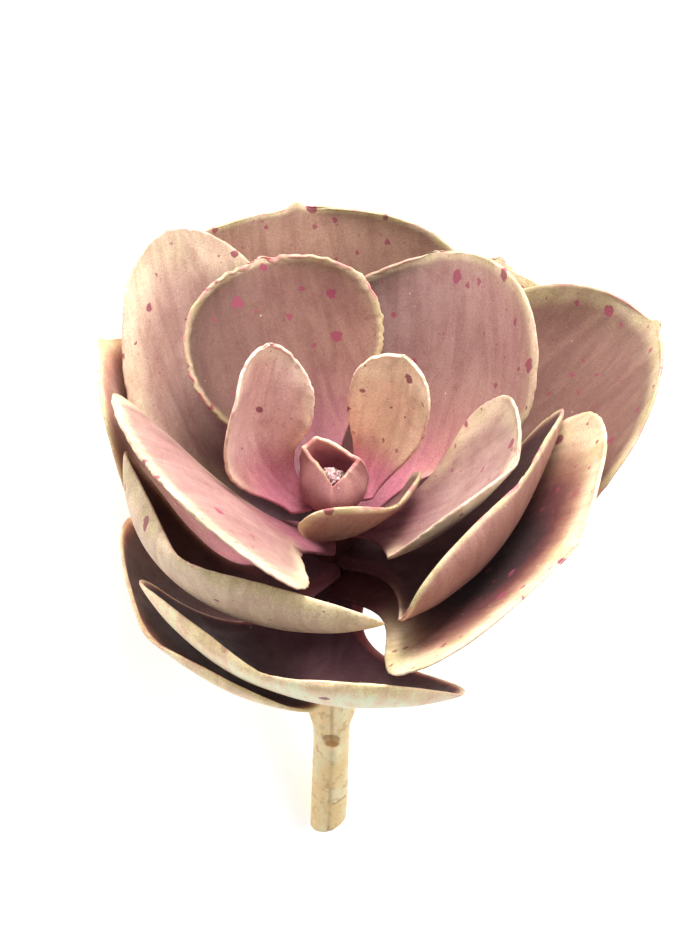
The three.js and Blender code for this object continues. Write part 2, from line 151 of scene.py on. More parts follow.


# leaves
# The midrib: azimuth round the stem, start (out from its middle) and root (height), reach and rise of the
# end, the slopes with which it leaves and arrives, and how it drifts sideways: shift throughout, sway to the
# end and bow midway.
# The outline: width, widest (its place along the leaf), neck, square (bluntness of the end) and taper
# (hollowness of the foot).
# The section: cup of the halves, fold at the rib and roll of the whole, in degrees, and mucro, the point,
# rim and rib (thickness) in mm.
# The finish: as above, with the tone, partly painted light and shade, changed by a painted shade to one side
# (darker to the left) and painted shading at the foot, and then jag of the rim and flutes of the face, in mm.
usualLeaf = dict(
    shift=0, sway=0, swayPower=2, bow=0, start=5.5, neck=10, square=2.6, taper=1.6, cup=0, fold=0, roll=0,
    mucro=1.6, rim=0.8, rib=2.0, rows=112, columns=28,
    tan=0.5, toneAndPaintedShading=1, paintedSideShade=0, paintedFootShading=1, bloomAndSheen=0, shade=0, margin=6, freckles=0.5, blush=0.3, jag=0.3,
    flutes=0.2,
)
leaves = {
    "leaf_heart_left": dict(
        azimuth=127, shift=6, sway=-1, bow=6, start=4, root=-12, reach=17.6, rise=30, leave=25, arrive=90,
        width=26, widest=0.6, neck=8, square=3.4, cup=30, cupRight=45, fold=20, mucro=0.2, rows=90,
        tan=0.12, toneAndPaintedShading=1.25, paintedFootShading=0.8, bloomAndSheen=0.4, margin=2.5, freckles=0.4, blush=0.5, jag=0.6,
    ),
    "leaf_heart_right": dict(
        azimuth=60, shift=-4, sway=-4, swayPower=1, start=5, root=-11, reach=19.6, rise=24, leave=30,
        arrive=85, width=22, widest=0.66, neck=8, square=3.6, cup=30, fold=10, mucro=0.4, rows=90,
        tan=0.9, toneAndPaintedShading=1.55, paintedFootShading=0.8, bloomAndSheen=0.25, margin=14, freckles=1.0, blush=0.4,
    ),
    "leaf_heart_front": dict(
        azimuth=296, sway=6, root=-12, reach=20, rise=3.6, leave=5, arrive=62, width=40, widest=0.64,
        neck=12, square=3, cup=45, cupLeft=38, roll=8, mucro=1,
        tan=0.2, toneAndPaintedShading=0.55, paintedSideShade=0.4, shade=0.1, margin=2.2, freckles=0.4, blush=0.8, jag=0.12,
    ),
    "leaf_inner_back_left": dict(
        azimuth=112, root=-15, reach=49, rise=25, leave=18, arrive=50, width=54, widest=0.68, square=3,
        cup=40, mucro=0.5,
        tan=0.3, toneAndPaintedShading=0.46, paintedSideShade=0.45, margin=2.2, freckles=0.7, blush=0.8, jag=0.9,
    ),
    "leaf_inner_right": dict(
        azimuth=336, root=-16, reach=45, rise=21, leave=16, arrive=56, width=54, widest=0.66, square=3,
        taper=1.8, cup=36, mucro=0.3,
        tan=0.25, toneAndPaintedShading=0.55, paintedFootShading=0.9, bloomAndSheen=0.16, margin=7.5, freckles=0.8, jag=0.4,
    ),
    "leaf_inner_back_right": dict(
        azimuth=42, sway=18, swayPower=3, root=-18.5, reach=50, rise=26, leave=12, arrive=54, width=67,
        widest=0.66, square=2.7, taper=2.8, cup=35, cupRight=15, mucro=0.4,
        tan=0.06, toneAndPaintedShading=0.51, paintedSideShade=0.6, paintedFootShading=1.7, bloomAndSheen=0.08, margin=2.5, freckles=0.95, blush=0.4,
        jag=0.4, flutes=0.35,
    ),
    "leaf_inner_left": dict(
        azimuth=224, sway=-9, swayPower=1.5, root=-19.6, reach=47, rise=26.8, leave=37, arrive=37,
        width=77.5, widest=0.73, neck=15, square=1.8, taper=2.9, roll=-6, mucro=0.3,
        tan=0.05, toneAndPaintedShading=0.58, paintedFootShading=1.05, bloomAndSheen=0.1, margin=8, freckles=0.35, jag=0.8, flutes=0.4,
    ),
    "leaf_middle_left": dict(
        azimuth=137, sway=-7.5, root=-24.3, reach=61.6, rise=32.4, leave=-7, arrive=71, width=51,
        widest=0.59, neck=13, square=1.9, taper=2.6, cupLeft=6, cupRight=16, fold=8, mucro=0.2,
        toneAndPaintedShading=0.95, paintedFootShading=0.18, bloomAndSheen=0.2, margin=8, jag=0.4,
    ),
    "leaf_middle_right": dict(
        azimuth=329, sway=5, swayPower=1, root=-24.7, reach=47, rise=18, leave=14, arrive=102, width=79,
        widest=0.68, neck=15, square=2.9, taper=2.5, cupLeft=14, cupRight=32, roll=5, mucro=0.2,
        tan=0.1, toneAndPaintedShading=0.62, shade=0.85, margin=2, freckles=0.35, blush=1, jag=0.2,
    ),
    "leaf_middle_front": dict(
        azimuth=232, sway=-0.5, swayPower=1, root=-27.5, reach=51.6, rise=12.4, leave=8, arrive=87,
        width=89.5, widest=0.73, neck=15, square=2.1, taper=3.6, cupLeft=39, cupRight=60, roll=2, mucro=0.3,
        tan=0.85, toneAndPaintedShading=1.15, shade=0.85, margin=2, freckles=0.4, blush=0.5, jag=0.25,
    ),
    "leaf_outer_right": dict(
        azimuth=318, sway=10, swayPower=1, root=-30.1, reach=63.8, rise=12.6, leave=6, arrive=38,
        width=88.5, widest=0.73, neck=21, square=2.5, taper=2.8, cup=23, cupRight=13, roll=9, mucro=0.5,
        tan=0.8, shade=1, margin=13, freckles=0.9, blush=0.2,
    ),
    "leaf_outer_left": dict(
        azimuth=163.5, sway=-7, root=-31.1, reach=58.8, rise=18.4, leave=-8, arrive=67, width=52.5,
        widest=0.58, neck=13, square=0.9, taper=1.8, cupLeft=18, cupRight=30,
        tan=0.7, toneAndPaintedShading=1.7, shade=0.6, margin=3, freckles=0.3, blush=0.2, jag=0.2,
    ),
    "leaf_outer_front": dict(
        azimuth=256, root=-33.4, reach=59.2, rise=-5.8, leave=-40, arrive=73, width=85.5, widest=0.65,
        neck=20, square=2.9, taper=2.6, cupLeft=34, cupRight=39, roll=-7, mucro=0.1,
        tan=1, toneAndPaintedShading=2.0, shade=1, margin=1.5, freckles=0.15, blush=0.2, jag=0.25, flutes=0.4,
    ),
    "leaf_outer_back": dict(
        azimuth=98, root=-37, reach=65, rise=25, leave=4, arrive=56, width=84, widest=0.72, square=3.2,
        taper=3, cup=30, cupLeft=12,
        tan=0.75, toneAndPaintedShading=0.72, margin=2.2, freckles=0.8, blush=0.6,
    ),
    "leaf_outer_far_right": dict(
        azimuth=22, root=-39.5, reach=82.4, rise=17, leave=16, arrive=40, width=72, widest=0.6, square=2.3,
        taper=2, cup=34, cupLeft=42,
        tan=0.38, toneAndPaintedShading=0.45, margin=4, freckles=0.8, blush=0.7, jag=0.25,
    ),
    "leaf_outer_back_right": dict(
        azimuth=57, root=-42.5, reach=75, rise=8.4, leave=5, arrive=46, width=70, widest=0.7, square=3.2,
        taper=2.2, cup=26, cupRight=0, roll=4,
        tan=0.7, toneAndPaintedShading=0.8, freckles=0.6, blush=0.4,
    ),
    "leaf_lowest_left": dict(
        azimuth=221, root=-45.5, reach=56.4, rise=-16.2, leave=-11, arrive=49, width=72.5, widest=0.7,
        neck=13, square=3, taper=1.3, cup=38, cupRight=35, roll=-8, mucro=0.1,
        tan=0.9, toneAndPaintedShading=1.9, shade=0.9, margin=1.8, freckles=0.2, jag=0.2,
    ),
}
# what all blades share, in mm, shares of the length or shares of the cup
bladeForm = dict(
    crownReach=4.7,  # the foot runs a little way into the crown
    pull=0.38,  # how firmly the midrib holds the slopes at its ends
    neckEnd=0.05,
    footCup=0.35,
    endRounding=0.16,  # how late the cup flattens out towards the end
    creaseWidth=0.1,
    mucroWidth=1.6,
    footRows=0.55,  # share of the rows below the widest place
    waveScale=0.045, waveHeight=0.55, waveShift=3.1,  # the shifts make no two leaves alike
    fluteScale=(5.5, 0.8), fluteShift=1.7,  # scale across and along
    ragScale=0.5, ragShift=2.3,
    rimStart=0.9,  # the rim is ragged from here out
)


def midribPoint(leaf, along):
    a = math.radians(leaf["azimuth"])
    outward, sideways = Vector((math.cos(a), math.sin(a), 0)), Vector((-math.sin(a), math.cos(a), 0))
    start, end = Vector((leaf["start"], leaf["root"])), Vector((leaf["reach"], leaf["rise"]))
    pull = bladeForm["pull"] * (end - start).length
    leave, arrive = math.radians(leaf["leave"]), math.radians(leaf["arrive"])
    p = bezier(
        start,
        start + pull * Vector((math.cos(leave), math.sin(leave))),
        end - pull * Vector((math.cos(arrive), math.sin(arrive))),
        end,
        along,
    )
    drift = leaf["shift"] + leaf["bow"] * math.sin(math.pi * along)
    drift += leaf["sway"] * max(along, 0) ** leaf["swayPower"]
    return outward * p.x + Vector((0, 0, p.y)) + sideways * drift, sideways


def midrib(leaf, along):
    here, sideways = midribPoint(leaf, along)
    step = 0.001
    ahead, behind = midribPoint(leaf, min(1, along + step))[0], midribPoint(leaf, max(0, along - step))[0]
    forward = (ahead - behind).normalized()
    left = (sideways - forward * forward.dot(sideways)).normalized()
    face = forward.cross(left)
    roll = math.radians(leaf["roll"]) * ease(along, 0, 0.7)
    side = left * math.cos(roll) + face * math.sin(roll)
    lift = face * math.cos(roll) - left * math.sin(roll)
    return here, forward, side, lift


def halfWidth(leaf, along):
    # and how far the place is into the rounded end, 0 to 1
    half, neck, widest, neckEnd = leaf["width"] / 2, leaf["neck"] / 2, leaf["widest"], bladeForm["neckEnd"]
    endPart = clamp((along - widest) / (1 - widest))
    if along < widest:
        swell = clamp((along - neckEnd) / (widest - neckEnd))
        return neck + (half - neck) * math.sin(math.pi / 2 * swell) ** leaf["taper"], endPart
    return half * math.sqrt(max(0, 1 - endPart ** leaf["square"])), endPart


def bladePoint(leaf, number, along, across, rib):
    # across is -1 at the right rim to 1 at the left
    here, forward, side, lift = rib
    half, endPart = halfWidth(leaf, along)
    form = bladeForm
    cup = leaf.get("cupLeft" if across > 0 else "cupRight", leaf["cup"])
    curl = math.radians(cup) * (form["footCup"] + (1 - form["footCup"]) * ease(along, 0.1, 0.6))
    if endPart > 0:  # the cup flattens out at the very end, so that the rim runs round it smoothly
        share = half / (leaf["width"] / 2)
        curl *= share * math.hypot(1, form["endRounding"]) / math.hypot(share, form["endRounding"])
    curl = max(1e-3, curl)
    out = math.copysign(half * math.sin(curl * abs(across)) / curl, across)
    crease = math.radians(leaf["fold"]) * (1 - ease(along, 0.8, 1))
    height = half * (1 - math.cos(curl * across)) / curl
    height += half * math.tan(crease) * (math.hypot(across, form["creaseWidth"]) - form["creaseWidth"])
    tip = leaf["mucro"] * hump(out, 0, form["mucroWidth"]) * ease(along, 0.9, 1) ** 2
    toRim = math.sqrt(across * across * (1 - endPart * endPart) + endPart * endPart)
    point = here + side * out + lift * height + forward * tip

    # soft waves of the flesh, flutes that fan out from the foot, and a ragged rim
    where = point * form["waveScale"] + Vector((number * form["waveShift"], 0, 0))
    wave = noise.noise(where) * 0.9 + noise.noise(where * 2.7) * 0.3
    fluteAcross, fluteAlong = form["fluteScale"]
    fan = noise.noise(Vector((across * fluteAcross, along * fluteAlong, number * form["fluteShift"])))
    loose = ease(toRim, 0.0, 0.9) * ease(along, 0.1, 0.5)
    point += lift * (wave * form["waveHeight"] * loose * min(1, half / 20))
    point += lift * (fan * leaf["flutes"] * plateau(along, 0.05, 0.3, 0.6, 0.98))
    edge = ease(toRim, form["rimStart"], 1.0)
    if edge > 0:
        toSide = math.copysign(math.sqrt(max(0, 1 - endPart**2)), across)
        away = side * toSide * abs(across) + forward * endPart
        fine = point * form["ragScale"] + Vector((0, number * form["ragShift"], 0))
        nicks = min(0, noise.noise(fine * 1.4) + 0.1) * 1.8
        ragged = noise.noise(fine) * 0.5 + noise.noise(fine * 2.3) * 0.6 + nicks - 0.15
        point += away * (ragged * leaf["jag"] * edge * ease(along, 0.12, 0.35))
    return point, toRim, half, out


def gridPlace(leaf, x, y):
    # rows of the grid crowd towards the blunt end
    t, footRows, widest = (y + 1) / 2, bladeForm["footRows"], leaf["widest"]
    if t < footRows:
        return widest * t / footRows, -x
    return widest + (1 - widest) * math.sin(math.pi / 2 * (t - footRows) / (1 - footRows)), -x


def makeLeaf(name, number):
    leaf = {**usualLeaf, **leaves[name]}
    blade, mesh = addGrid(name + "_blade", leaf["columns"], leaf["rows"])
    flesh = blade.vertex_groups.new(name="flesh")
    addFinish(mesh)
    ribs, places = {}, {}
    for v in mesh.vertices:
        along, across = gridPlace(leaf, v.co.x, v.co.y)
        key = round(along, 6)
        if key not in ribs:
            ribs[key] = midrib(leaf, along)
        point, toRim, half, out = bladePoint(leaf, number, along, across, ribs[key])
        if along < 1e-6:
            point.xy *= bladeForm["crownReach"] / point.xy.length
        places[v.index] = (out, along)
        v.co = point
        flesh.add([v.index], (1 - toRim) ** 0.7 * (1 - 0.4 * along), "REPLACE")
        gap = half * (1 - abs(across)) if along < leaf["widest"] else leaf["width"] / 2 * (1 - toRim)
        # painted shading: darker or lighter at the foot, darker to the left, times the leaf's tone
        depth = leaf["paintedFootShading"] + (1 - leaf["paintedFootShading"]) * ease(along, 0.2, 0.7)
        toneAndPaintedShading = leaf["toneAndPaintedShading"] * depth * (1 - leaf["paintedSideShade"] * across)
        # the pale bloom, a painted sheen, grows along the leaf
        bloomAndSheen = leaf["bloomAndSheen"] * ease(along, 0.25, 0.6)
        setFinish(mesh, v.index, {**leaf, "alongLeaf": along, "rimGap": gap, "toneAndPaintedShading": toneAndPaintedShading, "bloomAndSheen": bloomAndSheen})

    # the UV map is the leaf spread flat, in cm
    rows = sorted(ribs)
    length = sum((ribs[b][0] - ribs[a][0]).length for a, b in zip(rows, rows[1:]))
    for loop in mesh.loops:
        out, along = places[loop.vertex_index]
        mesh.uv_layers.active.data[loop.index].uv = (out / 10 + number * uvStretch, along * length / 10)

    bpy.ops.object.mode_set(mode="EDIT")
    bpy.ops.mesh.select_all(action="SELECT")
    bpy.ops.mesh.remove_doubles(threshold=0.02)  # closes the pole at the point
    bpy.ops.object.mode_set(mode="OBJECT")

    wall = thicken(blade, leaf["rib"])
    wall.vertex_group = "flesh"
    wall.thickness_vertex_group = leaf["rim"] / leaf["rib"]
    wall.material_offset_rim = 0
    finishPiece(blade, (leafInside, leafBack), name)


# the bud: three leaflets wrapped round a hollow, each from one corner of its mouth to the next
# foot and belly are radius and height, mouths the upper edges from right to left, all in mm
bud = dict(
    foot=(3.2, -8.3), belly=(9.3, -3.0), hip=0.9, wall=1.1, rows=20, columns=36,
    overlap=0.25, ragged=0.28, waves=0.3,
    alongMouth=0.38,  # how far along a leaf the flesh is like at the mouth
    # the back leaflet's inside lightened and the front ones darkened: painted light and shade
    backPaintedShading=1.5, frontPaintedShading=0.72,
)
budFinish = dict(shade=0, bloomAndSheen=0, tan=0.15, margin=0.5, freckles=0.05, blush=1.0)
mouths = {
    "bud_leaflet_back": (
        (5.9, 0.6, 3.3), (4.5, 1.7, 3.2), (3, 2.6, 3.1), (1.2, 3.8, 3.9), (-0.5, 4.7, 4.5), (-2.2, 5.4, 4.8),
        (-3.8, 5.7, 5.4), (-5.4, 5, 4.4), (-7, 3.9, 3.7),
    ),
    "bud_leaflet_left": (
        (-7, 3.9, 3.7), (-6.1, 2.8, 3.2), (-5.2, 1.6, 2.8), (-3.7, 0, 2.5), (-2.3, -1.4, 2),
        (-1.5, -2.4, 0.4), (-0.8, -3.3, -0.9), (-0.1, -4.2, -2),
    ),
    "bud_leaflet_right": (
        (-0.1, -4.2, -2), (1.1, -3.3, -0.4), (2.3, -2.5, 0.6), (3.5, -1.6, 1.6), (4.7, -0.5, 2.4),
        (5.9, 0.6, 3.3),
    ),
}
growingTip = dict(  # crumpled, deep in the bud
    middle=(-0.1, 0.2, -4.3), reach=3.1, plump=0.9, tall=1.1,
    folds=(0.32, 2.6), ridges=(0.26, 5.2), crumbs=(0.1, 13),  # height and scale
    dark=(0.30, 0.110, 0.120), pale=(0.78, 0.58, 0.52), roughness=0.5,
)


def leafletPoint(mouth, number, along, across):
    # along 0 at the foot to 1 at the mouth, across 0 to 1 from right to left
    place = clamp(across) * (len(mouth) - 1)
    i = min(int(place), len(mouth) - 2)
    rim = Vector(mouth[i]).lerp(Vector(mouth[i + 1]), place - i)
    azimuth = math.atan2(rim.y, rim.x)
    level = Vector((math.cos(azimuth), math.sin(azimuth), 0))
    (footRadius, footHeight), (bellyRadius, bellyHeight) = bud["foot"], bud["belly"]
    point = bezier(
        level * footRadius + Vector((0, 0, footHeight)),
        level * bellyRadius * bud["hip"] + Vector((0, 0, footHeight)),
        level * bellyRadius + Vector((0, 0, bellyHeight)),
        rim,
        along,
    )
    ragged = noise.noise(rim * 1.3 + Vector((number * 4.1, 0, 0))) + 0.5 * noise.noise(rim * 3.4)
    point.z += bud["ragged"] * ragged * ease(along, 0.85, 1)
    wave = noise.noise(point * 0.35 + Vector((number * 7, 0, 0)))
    point += level * (bud["waves"] * wave * ease(along, 0.1, 0.6))
    sideways = Vector((-level.y, level.x, 0))
    return point + sideways * bud["overlap"] * (across - 0.5) * 2 * ease(along, 0.1, 0.5)


def makeLeaflet(name, number):
    leaflet, mesh = addGrid(name + "_wall", bud["columns"], bud["rows"])
    addFinish(mesh)
    # painted light inside the back leaflet, painted shade on the front ones
    toneAndPaintedShading = bud["backPaintedShading"] if "back" in name else bud["frontPaintedShading"]
    places = {}
    for v in mesh.vertices:
        along, across = (v.co.y + 1) / 2, (1 - v.co.x) / 2
        v.co = leafletPoint(mouths[name], number, along, across)
        places[v.index] = (across, along)
        fleshAlong = 0.05 + (bud["alongMouth"] - 0.05) * along
        gap = 14 * (1 - along)
        setFinish(mesh, v.index, {**budFinish, "alongLeaf": fleshAlong, "rimGap": gap, "toneAndPaintedShading": toneAndPaintedShading})
    for loop in mesh.loops:
        across, along = places[loop.vertex_index]
        mesh.uv_layers.active.data[loop.index].uv = (across * 0.5 + number * uvStretch, along * 1.2)
    thicken(leaflet, bud["wall"])
    finishPiece(leaflet, (leafInside, leafBack), name)


def makeGrowingTip():
    deselect()
    bpy.ops.mesh.primitive_ico_sphere_add(subdivisions=5, radius=1)
    core = bpy.context.object
    core.name = "bud_growing_tip"
    x, y, z = growingTip["middle"]
    (fold, foldScale), (ridge, ridgeScale) = growingTip["folds"], growingTip["ridges"]
    crumb, crumbScale = growingTip["crumbs"]
    for v in core.data.vertices:
        d = v.co.normalized()
        crumple = fold * noise.noise(d * foldScale) + ridge * abs(noise.noise(d * ridgeScale))
        crumple += crumb * noise.noise(d * crumbScale)
        reach = growingTip["reach"] * (growingTip["plump"] + crumple)
        v.co = (x + reach * d.x, y + reach * d.y, z + growingTip["tall"] * reach * d.z)
    finishPiece(core, (tipMaterial(),), None)


# material helpers
def newMaterial(name):
    material = bpy.data.materials.new(name)
    material.use_nodes = True
    tree = material.node_tree
    return material, tree, tree.nodes["Principled BSDF"]


def link(tree, value, socket):
    if hasattr(value, "is_output"):
        tree.links.new(value, socket)
    else:
        socket.default_value = value


def maths(tree, operation, a, b=0.0, c=0.0):
    node = tree.nodes.new("ShaderNodeMath")
    node.operation = operation
    for socket, value in zip(node.inputs, (a, b, c)):
        link(tree, value, socket)
    return node.outputs[0]


def plus(tree, a, b):
    return maths(tree, "ADD", a, b)


def minus(tree, a, b):
    return maths(tree, "SUBTRACT", a, b)


def times(tree, a, b):
    return maths(tree, "MULTIPLY", a, b)


def over(tree, a, b):
    return maths(tree, "DIVIDE", a, b)


def absolute(tree, a):
    return maths(tree, "ABSOLUTE", a)


def swing(tree, pattern, size):
    # a pattern of 0 to 1, made to go to both sides of nothing
    return times(tree, minus(tree, pattern, 0.5), size)


def remap(tree, value, low, high, to0=0.0, to1=1.0):
    node = tree.nodes.new("ShaderNodeMapRange")
    node.interpolation_type = "SMOOTHSTEP"
    for socket, item in zip(node.inputs, (value, low, high, to0, to1)):
        link(tree, item, socket)
    return node.outputs[0]


def blend(tree, amount, a, b, mode="MIX"):
    node = tree.nodes.new("ShaderNodeMix")
    node.data_type, node.blend_type = "RGBA", mode
    link(tree, amount, node.inputs[0])
    for socket, value in zip(node.inputs[6:8], (a, b)):
        link(tree, (*value, 1) if isinstance(value, tuple) else value, socket)
    return node.outputs[2]


def tint(tree, colour, by):
    return blend(tree, 1.0, colour, by, "MULTIPLY")


def attribute(tree, name):
    node = tree.nodes.new("ShaderNodeAttribute")
    node.attribute_name = name
    return node.outputs["Fac"]


def mapped(tree, source, scale):
    node = tree.nodes.new("ShaderNodeMapping")
    node.inputs["Scale"].default_value = scale
    tree.links.new(source, node.inputs["Vector"])
    return node.outputs[0]


def grain(tree, where, scale, detail, rough, distortion=0.0):
    node = tree.nodes.new("ShaderNodeTexNoise")
    tree.links.new(where, node.inputs["Vector"])
    node.inputs["Scale"].default_value = scale
    node.inputs["Detail"].default_value = detail
    node.inputs["Roughness"].default_value = rough
    node.inputs["Distortion"].default_value = distortion
    return node.outputs[0]


def spots(tree, where, scale, dimensions):
    node = tree.nodes.new("ShaderNodeTexVoronoi")
    node.voronoi_dimensions = dimensions
    tree.links.new(where, node.inputs["Vector"])
    node.inputs["Scale"].default_value = scale
    split = tree.nodes.new("ShaderNodeSeparateColor")
    tree.links.new(node.outputs["Color"], split.inputs[0])
    return node.outputs["Distance"], split.outputs[0], split.outputs[1]


def bumps(tree, shader, layers):
    normal = None
    for height, strength, distance in layers:
        node = tree.nodes.new("ShaderNodeBump")
        node.inputs["Strength"].default_value = strength
        node.inputs["Distance"].default_value = distance
        tree.links.new(height, node.inputs["Height"])
        if normal:
            tree.links.new(normal, node.inputs["Normal"])
        normal = node.outputs[0]
    tree.links.new(normal, shader.inputs["Normal"])


# leaf flesh
fleshLook = dict(
    foot=(0.43, 0.150, 0.195),  # mauve at the foot
    mauve=(0.44, 0.215, 0.185),
    tan=(0.47, 0.290, 0.200),
    cream=(0.74, 0.590, 0.390),  # margin
    creamGreen=(0.58, 0.480, 0.260),
    # dark, maroon and brown: the deep insides of the outer leaves, dark pigment with painted shade
    dark=(0.026, 0.010, 0.014),  # the deep insides of the outer leaves
    maroon=(0.100, 0.026, 0.028),
    brown=(0.270, 0.135, 0.090),
    freckle=(0.250, 0.040, 0.075),
    rimLine=(0.520, 0.150, 0.160),
    dust=(0.80, 0.72, 0.66),
    # pale powdery bloom, used as painted sheen on the lit leaves
    bloomAndSheen=(0.84, 0.64, 0.62),
    backFoot=(0.36, 0.140, 0.150),
    backPink=(0.50, 0.245, 0.205),
    backCream=(0.62, 0.490, 0.335),
    roughness=0.5,
    sheen=0.04,
    sheenTint=(1.0, 0.92, 0.9),
    specular=0.3,
)
# noise patterns: scale, detail, roughness and for those on the flat leaf distortion, after their stretch
fleshPatterns = dict(broad=(38, 3, 0.55), cloudy=(95, 4, 0.6), patchy=(260, 4, 0.62), skin=(2100, 2, 0.6))
streakPatterns = dict(streak=((2.4, 0.5, 1), (1.0, 5, 0.6, 0.8)), fibre=((20, 2.4, 1), (1.0, 4, 0.7, 0.6)))
fleshMottle = (  # pattern, where it starts and is full, how strong, and the tint
    ("broad", 0.45, 0.65, 0.35, (0.86, 0.74, 0.76)),
    ("fibre", 0.52, 0.75, 0.30, (1.22, 1.20, 1.16)),
    ("patchy", 0.50, 0.70, 0.5, (0.84, 0.72, 0.72)),
    ("skin", 0.50, 0.68, 0.6, (1.22, 1.26, 1.26)),
    ("skin", 0.48, 0.32, 0.6, (0.84, 0.74, 0.76)),
)
streakTints = ((0.88, 0.80, 0.80), (1.09, 1.08, 1.05))
# freckles: cells per cm, share of the cells that have one where the leaf is full of them, radius and strength
freckleLayers = ((0.75, 0.7, 0.11, 0.85), (1.7, 0.5, 0.14, 0.8), (3.9, 0.2, 0.15, 0.7))
freckleWobble = dict(grain=(700, 3, 0.5), size=(0.16, 0.16, 0))
dustScale = 520
fleshBumps = (  # pattern, strength and height in m
    ("streak", 0.2, 0.0004), ("fibre", 0.15, 0.00012), ("patchy", 0.3, 0.00025), ("skin", 0.4, 0.00012),
)


def addFreckles(tree, colour, here, flat, along, freckles):
    # of uneven size with wobbly edges, big and small
    wobble = tree.nodes.new("ShaderNodeVectorMath")
    wobble.operation = "MULTIPLY_ADD"
    wobbleNoise = grain(tree, here, *freckleWobble["grain"]).node
    tree.links.new(wobbleNoise.outputs["Color"], wobble.inputs[0])
    wobble.inputs[1].default_value = freckleWobble["size"]
    tree.links.new(flat, wobble.inputs[2])
    for size, share, biggest, depth in freckleLayers:
        distance, chance, pick = spots(tree, wobble.outputs[0], size, "2D")
        bare = minus(tree, 1.0, times(tree, freckles, share))  # most cells have no spot
        reach = maths(tree, "MULTIPLY_ADD", pick, biggest * 0.65, biggest * 0.35)
        amount = remap(tree, minus(tree, reach, distance), 0.0, 0.02 * size)
        chosen = times(tree, remap(tree, minus(tree, chance, bare), 0.0, 0.06), depth)
        amount = times(tree, times(tree, amount, chosen), remap(tree, along, 0.22, 0.45))
        colour = blend(tree, amount, colour, fleshLook["freckle"])
    return colour


def fleshMaterial(name, inside):
    look = fleshLook
    material, tree, shader = newMaterial(name)
    coordinates = tree.nodes.new("ShaderNodeTexCoord")
    here, flat = coordinates.outputs["Object"], coordinates.outputs["UV"]
    finish = [attribute(tree, word) for word in finishWords]
    along, gap, shade, toneAndPaintedShading, bloomAndSheen, tan, margin, freckles, blush = finish
    pattern = {word: grain(tree, here, *values) for word, values in fleshPatterns.items()}
    for word, (stretch, values) in streakPatterns.items():
        pattern[word] = grain(tree, mapped(tree, flat, stretch), *values)
    broad, cloudy, patchy = pattern["broad"], pattern["cloudy"], pattern["patchy"]

    # foot to end, with a cloudy border
    upwards = plus(tree, along, swing(tree, pattern["streak"], 0.4))
    middle = blend(tree, tan, look["mauve" if inside else "backPink"], look["tan" if inside else "backCream"])
    colour = blend(tree, remap(tree, upwards, 0.12, 0.62), look["foot" if inside else "backFoot"], middle)

    # how far in from the rim, counted in margins, with an uneven border
    uneven = plus(tree, 0.35, plus(tree, times(tree, broad, 0.8), times(tree, cloudy, 0.5)))
    inward = over(tree, gap, times(tree, margin, uneven))
    rising = remap(tree, along, 0.18, 0.55)
    if inside:
        tanAmount = times(tree, remap(tree, inward, 2.6, 0.7), rising)
        colour = blend(tree, times(tree, tanAmount, 0.75), colour, look["tan"])
        # deep in the cup it goes brown, maroon, then dark away from the rim: dark pigment with painted shade
        deep = blend(tree, remap(tree, inward, 2.4, 1.5), look["dark"], look["maroon"])
        deep = blend(tree, times(tree, remap(tree, inward, 1.7, 0.9), rising), deep, look["brown"])
        colour = blend(tree, times(tree, shade, 0.97), colour, deep)
    creamAmount = times(tree, remap(tree, inward, 1.15, 0.25), rising)
    if not inside:  # the pale leaves are cream far down their backs
        farDown = times(tree, remap(tree, inward, 6.0, 1.0), times(tree, rising, remap(tree, tan, 0.5, 0.9)))
        creamAmount = maths(tree, "MAXIMUM", creamAmount, farDown)
    # the tone, partly painted light and shade, lightens or darkens the colour; it changes the cream only half
    # as much
    colour = tint(tree, colour, toneAndPaintedShading)
    cream = blend(tree, remap(tree, cloudy, 0.40, 0.62), look["cream"], look["creamGreen"])
    cream = tint(tree, cream, maths(tree, "MULTIPLY_ADD", toneAndPaintedShading, 0.5, 0.5))
    colour = blend(tree, creamAmount, colour, cream)

    # pale powdery bloom, a painted sheen of the lit faces, brushed streaks, then clouds, fibres, patches and
    # the grain of the skin
    powderAndSheen = times(tree, bloomAndSheen, remap(tree, cloudy, 0.25, 0.6, 0.6, 1.2))
    colour = blend(tree, powderAndSheen, colour, look["bloomAndSheen"])
    darker, lighter = (tint(tree, colour, by) for by in streakTints)
    colour = blend(tree, remap(tree, pattern["streak"], 0.34, 0.66), darker, lighter)
    for word, low, high, strength, by in fleshMottle:
        amount = times(tree, remap(tree, pattern[word], low, high), strength)
        colour = blend(tree, amount, colour, tint(tree, colour, by))

    # the fine red line on the rim, broken and blotchy
    broken = times(tree, remap(tree, cloudy, 0.56, 0.42), remap(tree, patchy, 0.36, 0.56))
    line = times(tree, times(tree, remap(tree, gap, 0.7, 0.1), broken), blush)
    colour = blend(tree, times(tree, line, remap(tree, along, 0.2, 0.45)), colour, look["rimLine"])

    colour = addFreckles(tree, colour, here, flat, along, freckles)

    # pale dust
    distance, chance, pick = spots(tree, here, dustScale, "3D")
    dust = times(tree, remap(tree, distance, 0.16, 0.06), remap(tree, chance, 0.90, 0.97))
    colour = blend(tree, times(tree, dust, 0.45), colour, look["dust"])
    colour.node.clamp_result = True  # a tone above 1 can't push it past white

    tree.links.new(colour, shader.inputs["Base Color"])
    rough = remap(tree, patchy, 0.3, 0.7, look["roughness"] - 0.06, look["roughness"] + 0.1)
    tree.links.new(rough, shader.inputs["Roughness"])
    shader.inputs["Sheen Weight"].default_value = look["sheen"]
    shader.inputs["Sheen Roughness"].default_value = 0.5
    shader.inputs["Sheen Tint"].default_value = (*look["sheenTint"], 1)
    shader.inputs["Specular IOR Level"].default_value = look["specular"]
    bumps(tree, shader, [(pattern[word], strength, distance) for word, strength, distance in fleshBumps])
    return material


